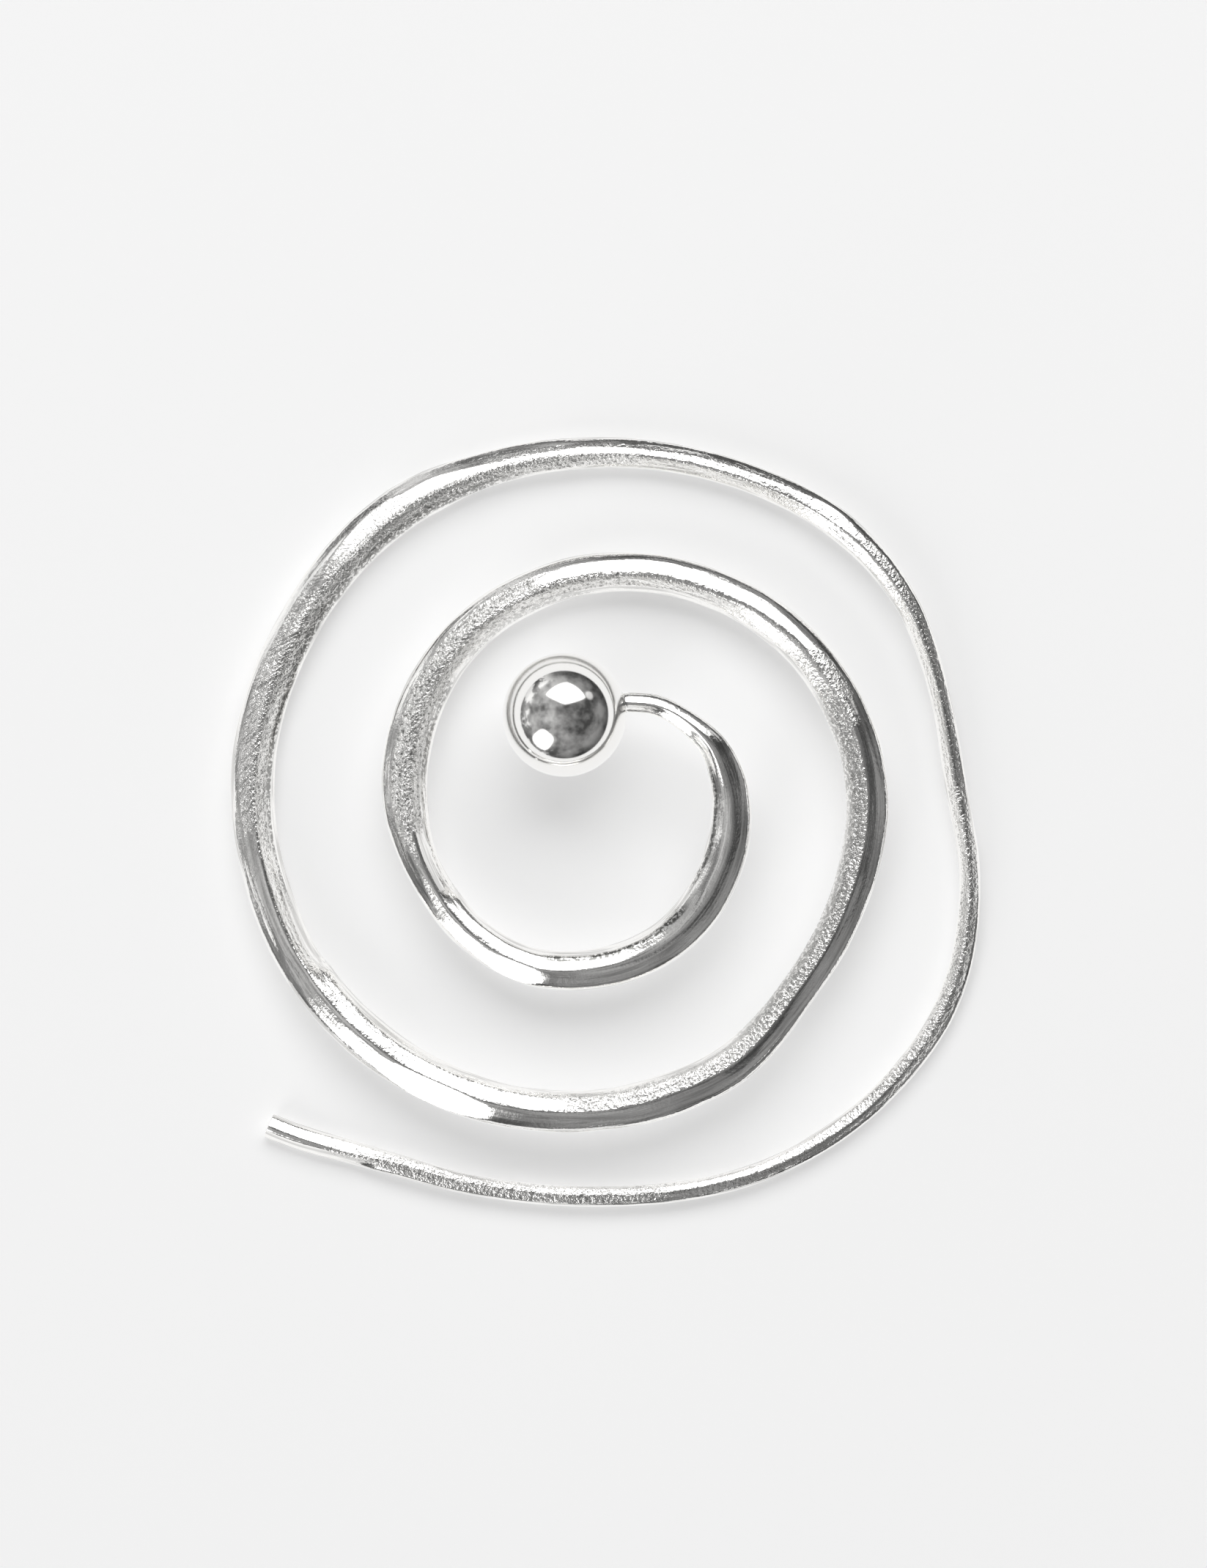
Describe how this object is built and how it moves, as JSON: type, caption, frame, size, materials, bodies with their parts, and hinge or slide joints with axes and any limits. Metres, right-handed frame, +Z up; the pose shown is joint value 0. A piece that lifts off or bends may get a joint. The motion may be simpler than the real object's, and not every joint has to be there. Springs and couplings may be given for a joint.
{
  "type": "spiral ear cuff",
  "caption": "Spiral of forged, tapering wire with a ball soldered on its inner end and a thin, square-cut outer end that goes through the ear.",
  "frame": {"origin": "middle of the cuff's bounding box seen from above, on the surface that it lies on", "axes": "+Z up from that surface, +Y towards the top of the picture and +X towards its right; the spiral winds outward clockwise from the ball, seen from above"},
  "size_m": [0.0256, 0.0262, 0.0049],
  "materials": {
    "silver": "sterling silver, forged and polished, with finely grained inner flanks, file scratches and flats"
  },
  "bodies": {
    "root": {"spiral_cuff": "silver"}
  },
  "joints": []
}
